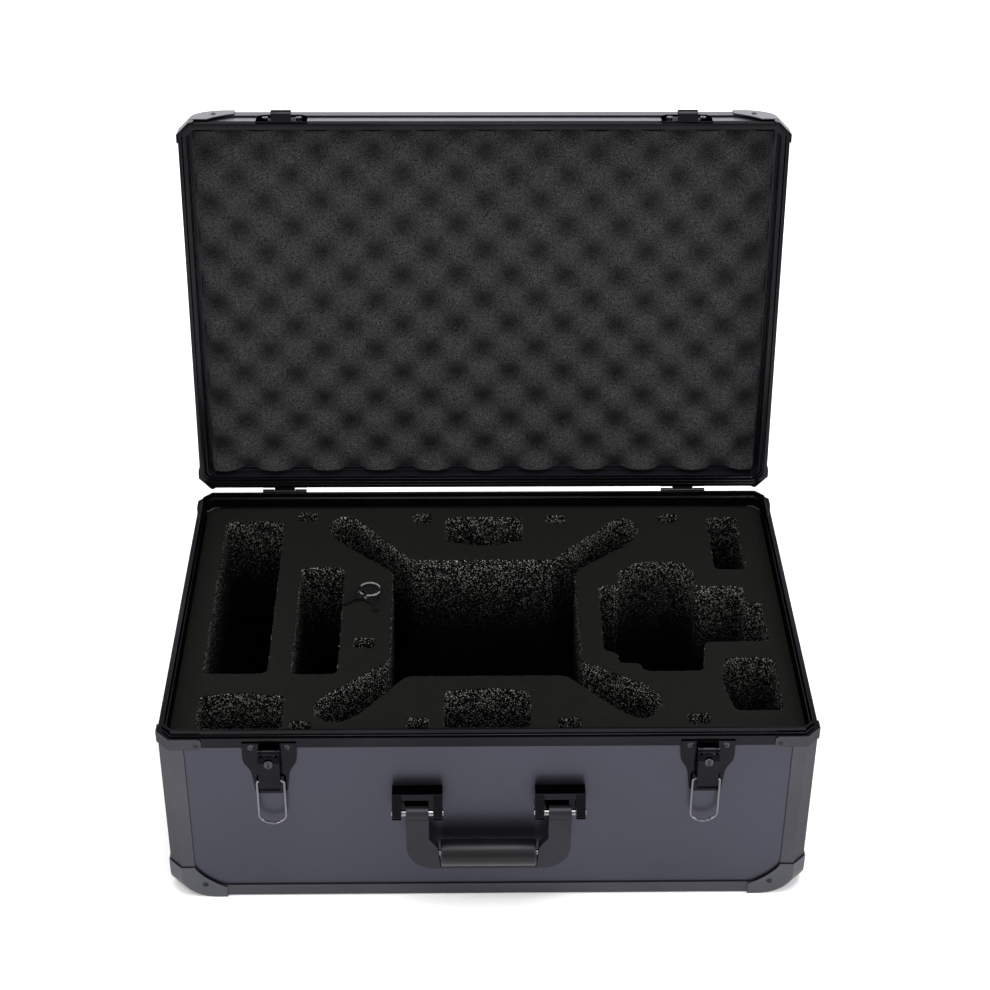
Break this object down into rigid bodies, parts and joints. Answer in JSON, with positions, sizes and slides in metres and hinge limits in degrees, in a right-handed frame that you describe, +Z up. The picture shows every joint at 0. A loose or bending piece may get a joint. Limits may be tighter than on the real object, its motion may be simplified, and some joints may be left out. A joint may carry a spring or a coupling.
{
  "type": "drone carrying case",
  "caption": "Hinged aluminium-framed case with a cut foam insert shaped for a quadcopter, egg-crate lid foam, draw latches with wire bails and a swing handle, shown open.",
  "frame": {"origin": "centre of the bottom panel's outer face; the case stands on its four corner brackets, 2.6 mm under that face", "axes": "+Z up, +X to the right of someone facing the latches, -Y the front face with the latches and the handle; the lid hinges at the back"},
  "size_m": [0.5026, 0.4338, 0.503],
  "materials": {
    "board_skin": "laminated board with a satin dark grey metallic skin",
    "frame_aluminium": "black anodised, satin",
    "bracket_steel": "black satin paint",
    "black_chrome": "black chrome, glossy",
    "bright_steel": "polished nickel plate",
    "die_cut_foam": "matt closed-cell foam, coarse on its cut walls",
    "egg_crate_foam": "matt open-cell foam",
    "handle_casting": "black powder coat, satin",
    "grip_plastic": "soft black plastic with a slight sheen"
  },
  "bodies": {
    "base": {"bottom_panel": "board_skin", "front_panel": "board_skin", "back_panel": "board_skin", "left_panel": "board_skin", "right_panel": "board_skin", "base_edge_trim": "frame_aluminium", "base_rim": "frame_aluminium", "corner_post_front_left": "frame_aluminium", "corner_post_front_right": "frame_aluminium", "corner_post_back_left": "frame_aluminium", "corner_post_back_right": "frame_aluminium", "base_bracket_front_left": "bracket_steel", "base_bracket_front_right": "bracket_steel", "base_bracket_back_left": "bracket_steel", "base_bracket_back_right": "bracket_steel", "rim_corner_front_left": "bracket_steel", "rim_corner_front_right": "bracket_steel", "rim_corner_back_left": "bracket_steel", "rim_corner_back_right": "bracket_steel", "foam_base_pad": "die_cut_foam", "foam_insert": "die_cut_foam", "keys": "bright_steel", "handle_bracket_left": "black_chrome", "handle_pin_left": "bright_steel", "latch_plate_left": "black_chrome", "hinge_base_leaf_left": "black_chrome", "hinge_pin_left": "bright_steel", "handle_bracket_right": "black_chrome", "handle_pin_right": "bright_steel", "latch_plate_right": "black_chrome", "hinge_base_leaf_right": "black_chrome", "hinge_pin_right": "bright_steel"},
    "lid": {"lid_panel": "board_skin", "lid_wall_band": "board_skin", "lid_rim": "frame_aluminium", "lid_edge_trim": "frame_aluminium", "lid_foam": "egg_crate_foam", "lid_corner_front_left": "bracket_steel", "lid_corner_front_right": "bracket_steel", "lid_corner_back_left": "bracket_steel", "lid_corner_back_right": "bracket_steel", "lid_bracket_front_left": "bracket_steel", "lid_bracket_front_right": "bracket_steel", "lid_bracket_back_left": "bracket_steel", "lid_bracket_back_right": "bracket_steel", "catch_left": "black_chrome", "hinge_lid_leaf_left": "black_chrome", "catch_right": "black_chrome", "hinge_lid_leaf_right": "black_chrome"},
    "handle": {"handle_bow": "handle_casting", "handle_grip": "grip_plastic", "handle_rod": "bright_steel"},
    "lever_left": {"latch_lever_left": "black_chrome"},
    "lock_left": {"latch_lock_left": "bright_steel"},
    "bail_left": {"latch_bail_left": "black_chrome"},
    "lever_right": {"latch_lever_right": "black_chrome"},
    "lock_right": {"latch_lock_right": "bright_steel"},
    "bail_right": {"latch_bail_right": "black_chrome"}
  },
  "joints": [
    {"name": "lid_hinge", "type": "hinge", "parent": "base", "child": "lid", "pos_m": [0, 0.169, 0.1595], "axis": [1, 0, 0], "range_deg": [0, 97]},
    {"name": "handle_pivot", "type": "hinge", "parent": "base", "child": "handle", "pos_m": [0, -0.1777, 0.0955], "axis": [-1, 0, 0], "range_deg": [0, 95]},
    {"name": "lever_left_pivot", "type": "hinge", "parent": "base", "child": "lever_left", "pos_m": [-0.1655, -0.1702, 0.15], "axis": [-1, 0, 0], "range_deg": [0, 105]},
    {"name": "bail_left_pivot", "type": "hinge", "parent": "lever_left", "child": "bail_left", "pos_m": [-0.1655, -0.1702, 0.122], "axis": [1, 0, 0], "range_deg": [-175, 0]},
    {"name": "lock_left_turn", "type": "hinge", "parent": "lever_left", "child": "lock_left", "pos_m": [-0.1655, -0.1702, 0.1435], "axis": [0, -1, 0], "range_deg": [0, 90]},
    {"name": "lever_right_pivot", "type": "hinge", "parent": "base", "child": "lever_right", "pos_m": [0.1655, -0.1702, 0.15], "axis": [-1, 0, 0], "range_deg": [0, 105]},
    {"name": "bail_right_pivot", "type": "hinge", "parent": "lever_right", "child": "bail_right", "pos_m": [0.1655, -0.1702, 0.122], "axis": [1, 0, 0], "range_deg": [-175, 0]},
    {"name": "lock_right_turn", "type": "hinge", "parent": "lever_right", "child": "lock_right", "pos_m": [0.1655, -0.1702, 0.1435], "axis": [0, -1, 0], "range_deg": [0, 90]}
  ]
}
